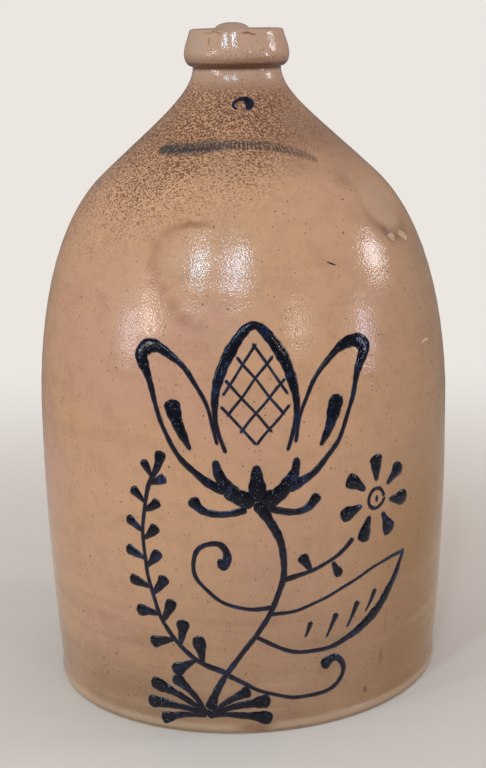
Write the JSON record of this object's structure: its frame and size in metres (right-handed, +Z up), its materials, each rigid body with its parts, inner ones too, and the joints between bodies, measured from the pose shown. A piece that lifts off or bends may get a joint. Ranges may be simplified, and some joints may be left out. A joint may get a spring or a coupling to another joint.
{
  "type": "stoneware crock jug",
  "caption": "Tall rounded salt-glazed stoneware jug with a drawn-in shoulder, narrow collared mouth, strap handle at the back and dark slip lining.",
  "frame": {"origin": "centre of the flat foot, on the surface that the jug stands on", "axes": "+Z up along the axis that the jug was thrown on; the ornamented front faces -Y, the handle is at +Y and +X is to the right of someone facing the front"},
  "size_m": [0.219, 0.219, 0.3476],
  "materials": {
    "salt_glaze": "glossy salt glaze with an orange-peel surface, warm tan to khaki",
    "lining_slip": "glossy dark brown slip"
  },
  "bodies": {
    "root": {"jug_body": "salt_glaze", "strap_handle": "salt_glaze", "interior_slip_coat": "lining_slip"}
  },
  "joints": []
}
